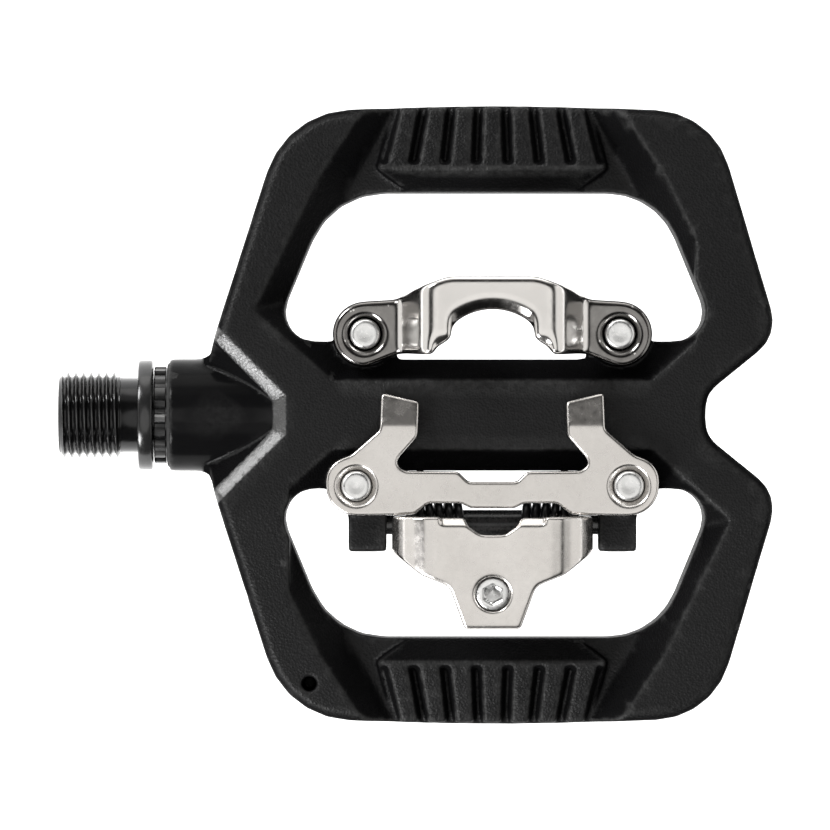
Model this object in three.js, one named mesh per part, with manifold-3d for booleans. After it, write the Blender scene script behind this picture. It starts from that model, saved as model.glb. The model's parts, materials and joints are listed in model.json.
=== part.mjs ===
// Single-sided clipless trekking pedal, right-hand side, as an assembly of separate pieces.
// Millimetres. +X runs outboard, away from the crank; +Y points forward; +Z is up, out of the clip-in side.
// The origin lies on the flat side's face, straight below the spindle axis, on the centre line of the cleat.
import * as THREE from 'three';
import { ConvexGeometry } from 'three/addons/geometries/ConvexGeometry.js';
import { mergeVertices } from 'three/addons/utils/BufferGeometryUtils.js';
import Module from 'manifold-3d';

const wasm = await Module();
wasm.setup();

// ---------------------------------------------------------------- driving dimensions

const AXIS_Z = 9.6;            // spindle axis above the flat side
const BODY_TOP = 20.4;         // plateau over the hub and the root of the frame's arms
const ARM_TOP_END = 17;        // height of the frame's upper face at its front and rear ends
const SLOPE_START = 16;        // |y| where the frame's upper face starts to fall
const FRAME_END = 51.2;        // |y| of the frame's front and rear ends
const EDGE = 1.2;              // chamfer round the frame's outer edges
const BEAM_INNER = 37;         // |y| of a window's far edge
const HUB_HALF = 9.25;         // half width of the hub between the two windows
const PLATEAU_HALF = 5.7;      // half width of the hub's flat top
const WINDOW_NEAR = 12.2;      // |y| of a window's near edge beside the lugs
const FIT = 0.12;              // radial play between faceted turning pieces
const SEAT_GAP = 0.04;         // gap left between faces that rest on each other

const NECK = {
  x0: -54.1, r: 9.35, apex: -34, apexHalf: 3.3, spread: 1, bevelWidth: 1.9, bevelSlope: 0.6, wallSlope: 1.2,
};
const BORE = {
  r: 7.15, seat: 14.25, nutR: 6, end: 23, mouthR: 7.95, mouthX: -46.2, ringR: 8.75, ringDepth: 1.1,
};
const LANYARD = { x: -30.3, y: -44.5, r: 1.25 };

const THREAD = { x0: -72, x1: -61.7, r: 7.14, pitch: 25.4 / 20, depth: 0.75 };
const RELIEF_R = 6.2;
const FLANGE = { x0: -58.8, x1: -56.3, r: 9.15 };
const JOURNAL = { r: 6, x1: -24 };
const WAIST = { r: 4.9, x0: -20 };
const OUTER_JOURNAL = { r: 4, x1: 14.2 };
const SPINDLE_TIP = { r: 3, x1: 20.4 };
const HEX_KEY = { flats: 8, depth: 9 };

const COLLAR = { flangeX: -56.1, r: 8.1, teeth: 20, barrelX: -46.6, barrelR: 7.8, bore: 6.9 };
const BUSH = { x0: -45.8, x1: -30, inner: 6.12, outer: 7.1 };
const BEARING = { x0: 9.9, x1: 14.15, r: 7.08, bore: 4.06, pitchR: 5.5, ballR: 0.95, balls: 7 };
const NUT = { flats: 8, x0: 15, x1: 19 };

const HOOK = {
  x: 21.05, y: 13.4, earR: 5.5, bottom: 19.8, sheet: 2.2, stepOut: 15.3, stepIn: 11.1, roll: 3.2,
};
const PLATE = { x: 22.5, y: -11.7, earR: 5, bottom: 21.8, sheet: 2, tipDrop: 1.25 };
const CLEAT_ROOM = 3.4;        // height left for the cleat's nose and heel above the plate
const SCREW = { r: 2.5, headR: 4.4, headH: 3.2, recess: 0.8, dishR: 3.5, dishDepth: 0.9, key: 4 };

const PIVOT = { y: -18.2, z: 17.5, r: 1.6 };
const LUG = { x0: 17.5, x1: 23.8, rear: -22.6, bottom: 12.8 };
const JAW = {
  half: 16.6, sheet: 2, lipY: -16.75, lipHalf: 8.6, lipTop: 29.2, rear: -35.3, tilt: 12, earR: 3.8, bendR: 7,
};
const TENSION = { y: -29.6, r: 2.5, headR: 2.7, flangeR: 3.7, length: 12.5, key: 3 };
const TENSION_STACK = {
  flangeTop: -2.05, flangeBottom: -3.1, plateTop: -5.8, plateBottom: -6.9, nutBottom: -10.8,
};
const SPRING = {
  wire: 0.7, r: 3.4, legX: 5.3, pitch: 1.62, turns: 4, startDeg: 60, endDeg: 101.6, frontLeg: 8.2, rearLeg: 11,
};

const HOOK_TOP = HOOK.bottom + HOOK.sheet;
const PLATE_TOP = PLATE.bottom + PLATE.sheet;
const BAND_BOTTOM = PLATE_TOP + CLEAT_ROOM;
const SIDES = [['left', -1], ['right', 1]];

// ---------------------------------------------------------------- solids from three.js geometry

const v2 = (x, y) => new THREE.Vector2(x, y);
const v3 = (x, y, z) => new THREE.Vector3(x, y, z);

// A three.js geometry as a manifold-3d solid, turned the right way out if its winding was inward.
function solid(geometry) {
  const bare = geometry.index ? geometry.toNonIndexed() : geometry.clone();
  bare.deleteAttribute('normal');
  bare.deleteAttribute('uv');
  const merged = mergeVertices(bare, 1e-4);
  const build = (triVerts) => new wasm.Manifold(new wasm.Mesh({
    numProp: 3,
    vertProperties: new Float32Array(merged.attributes.position.array),
    triVerts,
  }));
  const faces = new Uint32Array(merged.index.array);
  const made = build(faces);
  if (made.volume() > 0) return made;
  for (let i = 0; i < faces.length; i += 3) [faces[i + 1], faces[i + 2]] = [faces[i + 2], faces[i + 1]];
  return build(faces);
}

function geometryOf(shape) {
  const mesh = shape.getMesh();
  const stride = mesh.numProp;
  const positions = new Float32Array(mesh.numVert * 3);
  for (let i = 0; i < mesh.numVert; i++) {
    positions.set(mesh.vertProperties.subarray(i * stride, i * stride + 3), i * 3);
  }
  const geometry = new THREE.BufferGeometry();
  geometry.setAttribute('position', new THREE.BufferAttribute(positions, 3));
  geometry.setIndex(new THREE.BufferAttribute(mesh.triVerts, 1));
  const flat = geometry.toNonIndexed();
  flat.computeVertexNormals();
  return flat;
}

const join = (...shapes) => shapes.reduce((a, b) => a.add(b));
const cut = (shape, ...tools) => tools.reduce((a, b) => a.subtract(b), shape);

// Closed outline from corners [x, y, radius]; each radius becomes a true arc.
function outline(corners, arcStep = 15) {
  const points = [];
  corners.forEach(([x, y, radius = 0], i) => {
    const corner = v2(x, y);
    const before = corners[(i + corners.length - 1) % corners.length];
    const after = corners[(i + 1) % corners.length];
    const a = v2(before[0], before[1]).sub(corner).normalize();
    const b = v2(after[0], after[1]).sub(corner).normalize();
    const half = Math.acos(THREE.MathUtils.clamp(a.dot(b), -1, 1)) / 2;
    if (!radius || Math.abs(half - Math.PI / 2) < 1e-3) {
      points.push(corner);
      return;
    }
    const centre = corner.clone().add(a.clone().add(b).normalize().multiplyScalar(radius / Math.sin(half)));
    const reach = radius / Math.tan(half);
    const from = corner.clone().addScaledVector(a, reach).sub(centre);
    const to = corner.clone().addScaledVector(b, reach).sub(centre);
    const start = Math.atan2(from.y, from.x);
    const sweep = Math.atan2(from.cross(to), from.dot(to));
    const turn = Math.abs(sweep);
    const longest = 6;
    const byAngle = turn / THREE.MathUtils.degToRad(arcStep) - 0.5;
    const steps = Math.ceil(Math.max(byAngle, turn * radius / longest));
    for (let k = 0; k <= steps; k++) {
      const angle = start + sweep * k / steps;
      points.push(v2(centre.x + radius * Math.cos(angle), centre.y + radius * Math.sin(angle)));
    }
  });
  return points;
}

const circle = (x, y, r, n = 20) => Array.from({ length: n }, (_, i) => {
  const angle = 2 * Math.PI * i / n;
  return v2(x + r * Math.cos(angle), y + r * Math.sin(angle));
});

const extruded = (points, depth) =>
  new THREE.ExtrudeGeometry(new THREE.Shape(points), { depth, bevelEnabled: false });

// Upright prism over an outline in the XY plane.
const prism = (points, z0, z1) => solid(extruded(points, z1 - z0).translate(0, 0, z0));

// Prism along X over an outline in the YZ plane.
function sidePrism(points, x0, x1) {
  const turn = new THREE.Matrix4().makeBasis(v3(0, 1, 0), v3(0, 0, 1), v3(1, 0, 0));
  return solid(extruded(points, x1 - x0).applyMatrix4(turn).translate(x0, 0, 0));
}

// Geometry of a prism along −Y from y = 0, over an outline in the XZ plane.
function frontGeometry(points, depth) {
  const turn = new THREE.Matrix4().makeBasis(v3(1, 0, 0), v3(0, 0, 1), v3(0, -1, 0));
  return extruded(points, depth).applyMatrix4(turn);
}
const frontPrism = (points, y0, y1) => solid(frontGeometry(points, y1 - y0).translate(0, y1, 0));

function block(x0, x1, y0, y1, z0, z1) {
  const geometry = new THREE.BoxGeometry(x1 - x0, y1 - y0, z1 - z0);
  return solid(geometry.translate((x0 + x1) / 2, (y0 + y1) / 2, (z0 + z1) / 2));
}

const hull = (points) => solid(new ConvexGeometry(points.map(([x, y, z]) => v3(x, y, z))));

// Turned piece around the spindle axis; its profile points [x, radius] start and end on the axis, or close.
function turned(profile, segments = 24) {
  const geometry = new THREE.LatheGeometry(profile.map(([x, r]) => v2(r, x)), segments);
  geometry.rotateZ(-Math.PI / 2);
  return solid(geometry.translate(0, 0, AXIS_Z));
}

// Turned ring around the spindle axis, of rectangular section.
const ring = (x0, x1, inner, outer, segments = 24) => turned(
  [[x0, inner], [x0, outer], [x1, outer], [x1, inner], [x0, inner]], segments);

// Upright turned piece from profile points [radius, z].
function upright(profile, x, y, segments = 20) {
  const geometry = new THREE.LatheGeometry(profile.map(([r, z]) => v2(r, z)), segments);
  return solid(geometry.rotateX(Math.PI / 2).translate(x, y, 0));
}

const rod = (x, y, r, z0, z1, n = 20) => prism(circle(x, y, r, n), z0, z1);

// Rod along X.
const crossRod = (x0, x1, y, z, r, n = 20) => sidePrism(circle(y, z, r, n), x0, x1);

// ---------------------------------------------------------------- materials and the scene graph

const material = (color, roughness, metalness) =>
  new THREE.MeshStandardMaterial({ color, roughness, metalness });
const COMPOSITE = material(0x1b1b1c, 0.62, 0);
const BLACK_STEEL = material(0x111112, 0.35, 0.9);
const SATIN_STEEL = material(0xc9c4bf, 0.34, 1);
const BRIGHT_STEEL = material(0xd9d8d6, 0.25, 1);
const SPRING_STEEL = material(0x232323, 0.4, 0.9);
const BEARING_STEEL = material(0xb9bcc0, 0.2, 1);
const ALUMINIUM = material(0x9a9ca0, 0.45, 1);
const POLYMER = material(0x2a2a2c, 0.6, 0);
const RUBBER = material(0x0d0d0d, 0.85, 0);

const pedal = new THREE.Group();
const bodyGroup = new THREE.Group();
const spindleGroup = new THREE.Group();
const clipGroup = new THREE.Group();
pedal.add(spindleGroup, bodyGroup, clipGroup);

function place(group, name, shape, finish) {
  const mesh = new THREE.Mesh(shape instanceof THREE.BufferGeometry ? shape : geometryOf(shape), finish);
  mesh.name = name;
  group.add(mesh);
  return mesh;
}

// ---------------------------------------------------------------- pedal body

// Frame seen from above. The crank side is a little narrower at its front and rear corners.
const frameOutline = () => outline([
  [36.6, 50.2, 13], [47.4, 13.2, 6.5], [35.3, 3.4, 4.5], [35.3, -3.4, 4.5], [47.4, -13.2, 6.5],
  [36.6, -50.2, 13], [0, -FRAME_END - 0.5, 400], [-34.2, -50.2, 15], [-45.7, -14], [-47, -9],
  [-47, 9], [-45.7, 14], [-34.2, 50.2, 15], [0, FRAME_END + 0.5, 400],
]);

// Window in front of the hub; the rear one is its mirror image.
const windowOutline = () => outline([
  [27.5, BEAM_INNER, 12], [-26.6, BEAM_INNER, 13], [-36.9, WINDOW_NEAR, 5], [-26, WINDOW_NEAR, 1],
  [-17, HUB_HALF, 1], [17, HUB_HALF, 1], [26, WINDOW_NEAR, 1], [37.7, WINDOW_NEAR, 5],
]);

// Height of the frame's upper face at a distance |y| from the spindle.
const armTop = (y) => BODY_TOP
  - Math.max(0, Math.abs(y) - SLOPE_START) * (BODY_TOP - ARM_TOP_END) / (FRAME_END - SLOPE_START);

// Slab with chamfered edges whose upper face falls towards both ends.
function frameBlank() {
  const slab = new THREE.ExtrudeGeometry(new THREE.Shape(frameOutline()), {
    depth: BODY_TOP - 2 * EDGE, bevelEnabled: true,
    bevelThickness: EDGE, bevelSize: EDGE, bevelOffset: -EDGE, bevelSegments: 1,
  });
  const whole = solid(slab.translate(0, 0, EDGE));
  const thirds = [[-60, -SLOPE_START], [-SLOPE_START, SLOPE_START], [SLOPE_START, 60]];
  const pieces = thirds.map(([y0, y1]) => {
    const geometry = geometryOf(whole.intersect(block(-60, 60, y0, y1, -1, BODY_TOP + 1)));
    const position = geometry.attributes.position;
    for (let i = 0; i < position.count; i++) {
      position.setZ(i, position.getZ(i) * armTop(position.getY(i)) / BODY_TOP);
    }
    return solid(geometry);
  });
  return join(...pieces);
}

// Half space above a plane that holds the line from a to b and falls away from it to the line's left.
function above(a, b, fall) {
  const size = 120;
  const from = v3(...a);
  const along = v3(...b).sub(from).normalize();
  const left = v3(-along.y, along.x, 0).normalize();
  const down = left.clone().add(v3(0, 0, -fall)).normalize();
  const up = new THREE.Vector3().crossVectors(along, down).normalize();
  const across = new THREE.Vector3().crossVectors(up, along);
  const box = new THREE.BoxGeometry(size, size, size).translate(0, 0, size / 2);
  box.applyMatrix4(new THREE.Matrix4().makeBasis(along, across, up).setPosition(from));
  return solid(box);
}

// Hollow between the arms: bevels fall from the plateau and the arms, and a low floor crosses the beam.
const HOLLOW = {
  knee: [39.5, 17.4], elbow: [28.7, 39.6], end: [20.6, 52], hubFall: 1.9, armFall: 1, floor: 12.6,
};
function hollow(side) {
  const corner = (sx, [x, y]) => [sx * x, side * y, armTop(y)];
  const root = [26.5, PLATEAU_HALF];
  const rims = [];
  for (const sx of [-1, 1]) {
    const rim = [root, HOLLOW.knee, HOLLOW.elbow, HOLLOW.end].map((place) => corner(sx, place));
    for (let i = 0; i < 3; i++) rims.push(sx * side > 0 ? [rim[i], rim[i + 1]] : [rim[i + 1], rim[i]]);
  }
  const hubEdge = side > 0 ? [corner(-1, root), corner(1, root)] : [corner(1, root), corner(-1, root)];
  const floor = block(-60, 60, -60, 60, HOLLOW.floor, 60);
  const walls = [above(...hubEdge, HOLLOW.hubFall), ...rims.map(([a, b]) => above(a, b, HOLLOW.armFall))];
  return walls.reduce((shape, wall) => shape.intersect(wall), floor);
}

// An outline made for the front half, turned over for the rear half.
const sided = (points, side) => (side > 0 ? points : points.map((p) => v2(p.x, -p.y)).reverse());

const windowCut = (side) => prism(sided(windowOutline(), side), -5, BODY_TOP + 5);

// Ribbed grip on a beam: a block with an inner bevel, and grooves that lean in towards the outer edge.
const GRIP = {
  innerHalf: 13.6, bendY: 40.9, bendHalf: 18.9, endHalf: 16.2, bendZ: 16.6, endZ: 14.4, base: 8,
  grooves: 8, grooveTop: 0.95, grooveFloor: 0.35, grooveDepth: 2.2,
};
const gripZ = (y) => GRIP.bendZ - (GRIP.bendZ - GRIP.endZ) * (y - GRIP.bendY) / (FRAME_END - GRIP.bendY);

function gripGroove(side, x) {
  const { grooveTop, grooveFloor, grooveDepth } = GRIP;
  const near = GRIP.bendY + 0.5;
  const far = FRAME_END + 1;
  const lean = GRIP.endHalf / GRIP.bendHalf;
  const over = 0.7;
  const half = grooveFloor + (grooveTop - grooveFloor) * (over + grooveDepth) / grooveDepth;
  return hull([-1, 1].flatMap((s) => [
    [x + s * grooveFloor, side * (near + 0.6), gripZ(near) - grooveDepth],
    [x * lean + s * grooveFloor, side * (far - 0.5), gripZ(far) - grooveDepth],
    [x + s * half, side * near, gripZ(near) + over],
    [x * lean + s * half, side * far, gripZ(far) + over],
  ]));
}

function grip(side) {
  const end = FRAME_END - 0.2;
  const inner = BEAM_INNER + 0.05;
  const raised = hull([-1, 1].flatMap((s) => [
    [s * GRIP.innerHalf, side * inner, HOLLOW.floor - 0.1],
    [s * GRIP.bendHalf, side * GRIP.bendY, GRIP.bendZ],
    [s * GRIP.endHalf, side * end, gripZ(end)],
    [s * (GRIP.bendHalf + 0.5), side * GRIP.bendY, GRIP.base],
    [s * (GRIP.endHalf + 0.5), side * end, GRIP.base],
    [s * (GRIP.innerHalf + 1), side * inner, GRIP.base],
  ]));
  const pitch = 2 * (GRIP.bendHalf - 0.6) / (GRIP.grooves - 1);
  const places = Array.from({ length: GRIP.grooves }, (_, i) => (i - (GRIP.grooves - 1) / 2) * pitch);
  const inside = raised.intersect(prism(frameOutline(), 0, BODY_TOP));
  return cut(inside, ...places.map((x) => gripGroove(side, x)));
}

// Flat-side tread: grooves over the beams, short bars across the arms and two long grooves along the hub.
const TREAD = { depth: 1, mouth: 1.5, floor: 0.6 };
function treadGroove(x0, y0, x1, y1) {
  const run = v2(x1 - x0, y1 - y0).normalize();
  const edge = (off, z) => [[x0, y0], [x1, y1]].map(([x, y]) => [x - run.y * off, y + run.x * off, z]);
  const pair = (half, z) => [...edge(half, z), ...edge(-half, z)];
  return hull([...pair(TREAD.mouth, -TREAD.depth / 2), ...pair(TREAD.floor, TREAD.depth)]);
}
function flatTread(side) {
  const lean = GRIP.endHalf / GRIP.bendHalf;
  const beam = Array.from({ length: 7 }, (_, i) => (i - 3) * 5.4)
    .map((x) => treadGroove(x, side * (BEAM_INNER + 2.5), x * lean, side * (FRAME_END + 3)));
  const arms = [20, 26, 32].flatMap((y) => [-1, 1].map((s) => {
    const inner = 37.6 - 0.42 * (y - 17);
    return treadGroove(s * inner, side * y, s * (inner + 14), side * (y + 4));
  }));
  return join(...beam, ...arms, treadGroove(-29, side * 5.2, 29, side * 5.2));
}

// Room over the neck, bounded by planes that fall from a V-shaped rim at the plateau's height.
function neckRoom(setBack, slope) {
  const reach = 20;
  const { spread } = NECK;
  const apex = NECK.apex - setBack;
  const half = NECK.apexHalf - setBack * (Math.hypot(1, spread) - spread);
  const corner = (s) => [apex, s * half, BODY_TOP];
  const wing = (s) => [apex - reach, s * (half + reach * spread), BODY_TOP];
  const rims = [[wing(-1), corner(-1)], [corner(-1), corner(1)], [corner(1), wing(1)]];
  const box = block(-70, apex + 5, -40, 40, AXIS_Z, BODY_TOP + 5);
  return rims.reduce((shape, [a, b]) => shape.intersect(above(a, b, slope)), box);
}

// The plateau ends in a V above the neck: a bevel along its rim, then walls that fall steeply to the neck.
function plateauEnd() {
  const { bevelWidth, bevelSlope, wallSlope } = NECK;
  const setBack = bevelWidth * (1 - bevelSlope / wallSlope);
  return join(neckRoom(0, bevelSlope), neckRoom(setBack, wallSlope));
}

// Round neck, and the flare by which it runs out into the frame.
function neck() {
  const chamfer = 0.5;
  const inner = -30;
  return turned([
    [NECK.x0, 0], [NECK.x0, NECK.r - chamfer], [NECK.x0 + chamfer, NECK.r], [inner, NECK.r], [inner, 0],
  ], 48);
}
function neckFlare() {
  const profile = outline([[-52, 0], [-52, NECK.r], [-46.4, NECK.r, 3], [-45.2, 15], [-40, 15], [-40, 0]]);
  const wedge = block(-60, -38, -30, 30, EDGE, BODY_TOP - EDGE);
  return turned(profile.map((p) => [p.x, p.y]), 48).intersect(wedge);
}

// Posts under the front hook and the cleat plate, and the rear lugs that carry the jaw's pivot pin.
function lugs() {
  const low = EDGE / 2;
  const root = 13;
  return join(...SIDES.flatMap(([, s]) => {
    const across = (x0, x1) => (s > 0 ? [x0, x1] : [-x1, -x0]);
    const side = outline([
      [LUG.rear, PLATE.bottom - 0.6, 0.8], [LUG.rear, LUG.bottom, 3], [-16, 11.2], [-7.6, 11.2],
      [-7.6, PLATE.bottom - 0.6],
    ]);
    return [
      rod(s * HOOK.x, HOOK.y, HOOK.earR - 0.25, low, HOOK.bottom - SEAT_GAP),
      block(...across(15.8, 26.5), 4, 12, low, root),
      rod(s * PLATE.x, PLATE.y, PLATE.earR - 0.25, low, PLATE.bottom - SEAT_GAP),
      block(...across(LUG.x0, 26.5), PLATE.y, -4, low, root),
      sidePrism(side, ...across(LUG.x0, LUG.x1)),
    ];
  }));
}

// Bore for the spindle cartridge: open towards the crank, stepped for the collar, bearing and lock nut.
const boreCut = () => turned([
  [NECK.x0 - 5, 0], [NECK.x0 - 5, BORE.ringR], [NECK.x0 + BORE.ringDepth, BORE.ringR],
  [NECK.x0 + BORE.ringDepth, BORE.mouthR], [BORE.mouthX, BORE.mouthR], [BORE.mouthX, BORE.r],
  [BORE.seat, BORE.r], [BORE.seat, BORE.nutR], [BORE.end, BORE.nutR], [BORE.end + 3, 0],
], 32);

// Clearance hole and counterbore for a screw that enters from the flat side.
const screwHole = (x, y) => join(
  rod(x, y, SCREW.r + FIT, -1, 30), rod(x, y, SCREW.headR + 0.3, -1, SCREW.headH + SCREW.recess));

function pedalBody() {
  let body = cut(frameBlank(), hollow(1), hollow(-1));
  body = cut(join(body, neckFlare()), plateauEnd());
  body = cut(join(body, neck()), windowCut(1), windowCut(-1));
  body = join(body, grip(1), grip(-1), lugs());
  body = cut(body, flatTread(1), flatTread(-1), boreCut());
  body = cut(body, crossRod(-LUG.x1 - 1, LUG.x1 + 1, PIVOT.y, PIVOT.z, PIVOT.r + FIT));
  for (const [, s] of SIDES) {
    body = cut(body, screwHole(s * HOOK.x, HOOK.y), screwHole(s * PLATE.x, PLATE.y));
  }
  return cut(body, rod(LANYARD.x, LANYARD.y, LANYARD.r, AXIS_Z, 30, 16));
}

// ---------------------------------------------------------------- clip mechanism

// Hole for a screw's threaded end, with a shallow pressed dish around it.
const ear = (x, y, top) => join(
  rod(x, y, SCREW.r + FIT, top - 10, top + 1),
  upright([[0, top - SCREW.dishDepth], [SCREW.r + 0.3, top - SCREW.dishDepth], [SCREW.dishR, top + 0.01],
    [SCREW.dishR, top + 1], [0, top + 1]], x, y));

// Closed outline from its right half, which runs from the centre line round to the centre line again.
const mirrored = (half) => [...half, ...half.map(([x, y, r]) => [-x, y, r]).reverse()];

// Front hook: a stamped strip that steps up from its ears and arches over the cleat's nose.
function frontHook() {
  const { x, y, earR, bottom, sheet, stepOut, stepIn, roll } = HOOK;
  const bandTop = BAND_BOTTOM + sheet;
  const bend = sheet * Math.tan(Math.atan2(bandTop - HOOK_TOP, stepOut - stepIn) / 2);
  const arch = { half: 6.7, y: 7.6, r: 9.2, bevel: 2.6, bevelDepth: 1.5 };
  const tip = { half: 9.6, y: 13.2, fall: 0.6 };
  const plan = prism(outline(mirrored([
    [7.4, 22.9, 3], [13, 20.9, 3], [15.8, 19.2, 2], [x, y + earR], [x + earR, y + earR, earR],
    [x + earR, y - earR, earR], [x, y - earR], [stepOut, 10.1, 2], [9.9, 9.8, 0.3], [arch.half, 12.7],
  ])), 0, 40);
  const strip = frontPrism(outline(mirrored([
    [stepIn, bandTop, roll], [stepOut, HOOK_TOP, 1.5], [30, HOOK_TOP], [30, bottom],
    [stepOut - bend, bottom, 1.5], [stepIn - bend, BAND_BOTTOM, 1],
  ])), 0, 30);
  const opening = upright([
    [0, 0], [arch.r, 0], [arch.r, bandTop - arch.bevelDepth], [arch.r + arch.bevel, bandTop + 0.01],
    [arch.r + arch.bevel, 40], [0, 40],
  ], 0, arch.y, 48).intersect(block(-arch.half, arch.half, 0, 30, 0, 40));
  const tips = above([tip.half, tip.y, bandTop], [-tip.half, tip.y, bandTop], tip.fall)
    .intersect(block(-tip.half, tip.half, 0, tip.y, 0, 40));
  return cut(plan.intersect(strip), opening, tips, ear(x, y, HOOK_TOP), ear(-x, y, HOOK_TOP));
}

// Cleat plate: a stamped bar on two ears, with two arms whose tips lean down over the hub.
function cleatPlate() {
  const { x, y, earR, bottom, sheet, tipDrop } = PLATE;
  const bend = -2.2;
  const plan = prism(outline(mirrored([
    [4, -11, 1], [5.7, -9.3, 1], [14.4, -9.2, 1], [16.4, -8, 1.3], [12.3, -3.4, 1.5], [12.1, 2.2, 0.3],
    [18.4, 3.7, 0.3], [18.6, -2.4, 1], [23.4, -6.6, 2], [x + earR, y + 3.6, 4], [x + earR, y - earR, earR],
    [12.9, -16.5, 1], [10.6, -14.6, 1], [5.2, -14.6, 1], [3.6, -15.4, 1],
  ])), 0, 40);
  const strip = sidePrism([
    v2(-25, bottom), v2(bend, bottom), v2(4, bottom - tipDrop), v2(4.4, bottom - tipDrop + sheet),
    v2(bend + 0.3, bottom + sheet), v2(-25, bottom + sheet),
  ], -30, 30);
  return cut(plan.intersect(strip), ear(x, y, PLATE_TOP), ear(-x, y, PLATE_TOP));
}

// Screw from the flat side: button head with a hexagon socket, shank with a chamfered end in the dish.
function plateScrew(x, y, top) {
  const { r, headR, headH, recess, key } = SCREW;
  const head = headH + recess - SEAT_GAP;
  const turnedScrew = upright([
    [0, recess], [headR - 0.6, recess], [headR, recess + 0.6], [headR, head],
    [r, head], [r, top - 0.5], [r - 0.5, top], [0, top],
  ], x, y);
  return cut(turnedScrew, prism(circle(x, y, key / Math.sqrt(3), 6), recess - 1, recess + 2));
}

// Places a shape made about the tail's own axis: z = 0 on the tail's outer face, +z out of it.
const JAW_FALL = Math.tan(THREE.MathUtils.degToRad(JAW.tilt));
const jawTop = (y) => JAW.lipTop + (y - JAW.lipY) * JAW_FALL;
function onTail(geometry) {
  geometry.rotateX(THREE.MathUtils.degToRad(JAW.tilt));
  return solid(geometry.translate(0, TENSION.y, jawTop(TENSION.y)));
}
const tailTurned = (profile, segments = 20) =>
  onTail(new THREE.LatheGeometry(profile.map(([r, z]) => v2(r, z)), segments).rotateX(Math.PI / 2));
const tailPrism = (points, z0, z1) => onTail(extruded(points, z1 - z0).translate(0, 0, z0));

// Rear jaw: one stamping, arched across, with an ear each side for the pivot pin and a tail behind.
function rearJaw() {
  const { half, sheet, lipY, lipHalf, rear, earR, bendR } = JAW;
  const leg = 20;
  const band = outline(mirrored([
    [half, 0, bendR], [half, -leg], [half - sheet, -leg], [half - sheet, -sheet, bendR - sheet],
  ]));
  const plan = prism(outline(mirrored([
    [2, -19.7, 2], [4.2, -18.2, 1], [4.6, lipY, 0.4], [half + 1, lipY], [half + 1, -22.6], [half, -22.6],
    [11.9, -26.3, 2], [7.2, -28.2, 2], [4.6, rear, 0.5],
  ])), 0, 40);
  const silhouette = sidePrism(outline([
    [lipY, 35], [lipY, 21.4], [PIVOT.y + earR, PIVOT.z + 1.6], [PIVOT.y + earR, PIVOT.z - earR, earR],
    [PIVOT.y - earR, PIVOT.z - earR, earR], [-25.5, 20.5, 2], [rear - 1, 19.5], [rear - 1, 35],
  ]), -half - 2, half + 2);
  const arched = onTail(frontGeometry(band, 40).translate(0, 25, 0));
  const sheetMetal = arched.intersect(plan.intersect(silhouette));
  const fold = { half: 4.9, y: rear - TENSION.y, sheet: 1.4 };
  const foldPlan = [[-fold.half, fold.y], [fold.half, fold.y], [fold.half, fold.y + fold.sheet],
    [-fold.half, fold.y + fold.sheet]];
  const tailFold = tailPrism(outline(foldPlan), -4.4, -0.4).intersect(plan);
  const lipEdge = lipY - 1.6;
  const lipBevel = above([-lipHalf, lipEdge, jawTop(lipEdge)], [lipHalf, lipEdge, jawTop(lipEdge)], 0.8)
    .intersect(block(-lipHalf, lipHalf, -30, 0, 0, 60));
  return cut(join(sheetMetal, tailFold), lipBevel,
    crossRod(-half - 2, half + 2, PIVOT.y, PIVOT.z, PIVOT.r + FIT),
    tailTurned([[0, -5], [TENSION.headR + 0.2, -5], [TENSION.headR + 0.2, 2], [0, 2]]));
}

// Right-hand threaded rod along +x: a strip wound round the axis whose edges meet turn by turn.
function threadRod(crestR, rootR, pitch, length, perTurn = 16) {
  const flank = [[0, rootR], [0.3, rootR], [0.56, crestR], [0.74, crestR]];
  const turns = Math.ceil(length / pitch) + 1;
  const columns = turns * perTurn;
  const points = [];
  const faces = [];
  const rows = flank.length;
  const at = (column, row) => (row < rows ? column * rows + row : (column + perTurn) * rows);
  for (let c = 0; c <= columns + perTurn; c++) {
    const angle = 2 * Math.PI * c / perTurn;
    for (const [s, r] of flank) {
      points.push([pitch * (c / perTurn + s), r * Math.cos(angle), r * Math.sin(angle)]);
    }
  }
  for (let c = 0; c < columns; c++) {
    for (let row = 0; row < rows; row++) {
      faces.push([at(c, row), at(c, row + 1), at(c + 1, row)]);
      faces.push([at(c + 1, row), at(c, row + 1), at(c + 1, row + 1)]);
    }
  }
  const start = points.push([-pitch, 0, 0]) - 1;
  const finish = points.push([pitch * (turns + 3), 0, 0]) - 1;
  for (let c = 0; c < perTurn; c++) {
    faces.push([start, at(c, 0), at(c + 1, 0)]);
    faces.push([finish, at(columns + c + 1, 0), at(columns + c, 0)]);
  }
  for (let row = 0; row < rows; row++) {
    faces.push([start, at(0, row + 1), at(0, row)]);
    faces.push([finish, at(columns, row), at(columns, row + 1)]);
  }
  const geometry = new THREE.BufferGeometry();
  geometry.setAttribute('position', new THREE.Float32BufferAttribute(points.flat(), 3));
  geometry.setIndex(faces.flat());
  return geometry.translate(-pitch, 0, 0);
}

// Tension screw: its head shows in the tail's hole and its flange pushes against the tail from inside.
function tensionScrew() {
  const { r, headR, flangeR, length, key } = TENSION;
  const { flangeTop, flangeBottom } = TENSION_STACK;
  const top = -0.2;
  const body = tailTurned([
    [0, top], [headR - 0.3, top], [headR, top - 0.3], [headR, flangeTop], [flangeR, flangeTop],
    [flangeR, flangeBottom], [r, flangeBottom], [r, 0.7 - length], [r - 0.7, -length], [0, -length],
  ]);
  return cut(body, tailPrism(circle(0, 0, key / Math.sqrt(3), 6), -2.4, 1));
}

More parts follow.
